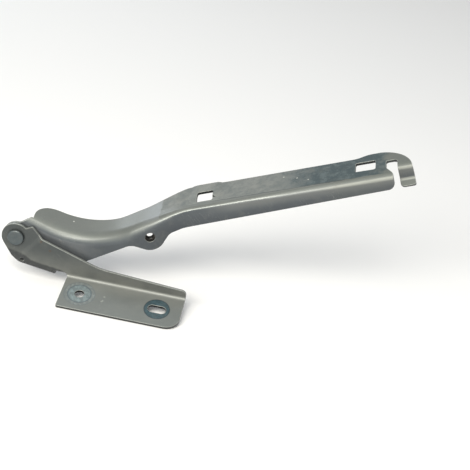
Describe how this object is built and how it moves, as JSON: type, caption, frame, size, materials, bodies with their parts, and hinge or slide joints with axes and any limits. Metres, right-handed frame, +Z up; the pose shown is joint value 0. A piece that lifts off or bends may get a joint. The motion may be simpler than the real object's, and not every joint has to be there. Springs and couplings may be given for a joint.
{
  "type": "bonnet hinge",
  "caption": "Pressed-steel bonnet hinge: a goosenecked arm with a hooked end turns on a riveted pivot at the end of a folded bolt-down bracket.",
  "frame": {"origin": "middle of the bracket's mounting face (the flange's underside), halfway between its two bolt holes", "axes": "+X along the mounting flange towards the arm's front end, +Y along the pivot's axis from the flange towards the arm, +Z up"},
  "size_m": [0.3966, 0.1076, 0.1921],
  "materials": {
    "bracket_paint": "worn champagne-grey metallic paint",
    "arm_paint": "worn champagne-grey metallic paint over blue-grey dip primer",
    "rivet_steel": "overpainted rivet steel",
    "bush_steel": "dull plated steel",
    "nut_steel": "dull dip-coated steel"
  },
  "bodies": {
    "bracket": {"body_bracket": "bracket_paint", "pivot_rivet": "rivet_steel", "pivot_bush": "bush_steel", "pivot_washer": "bush_steel"},
    "arm": {"bonnet_arm": "arm_paint", "ear_weld_nut": "nut_steel"}
  },
  "joints": [
    {"name": "bonnet_hinge", "type": "hinge", "parent": "bracket", "child": "arm", "pos_m": [-0.1146, 0.0291, 0.04], "axis": [0, -1, 0], "range_deg": [-9, 55]}
  ]
}
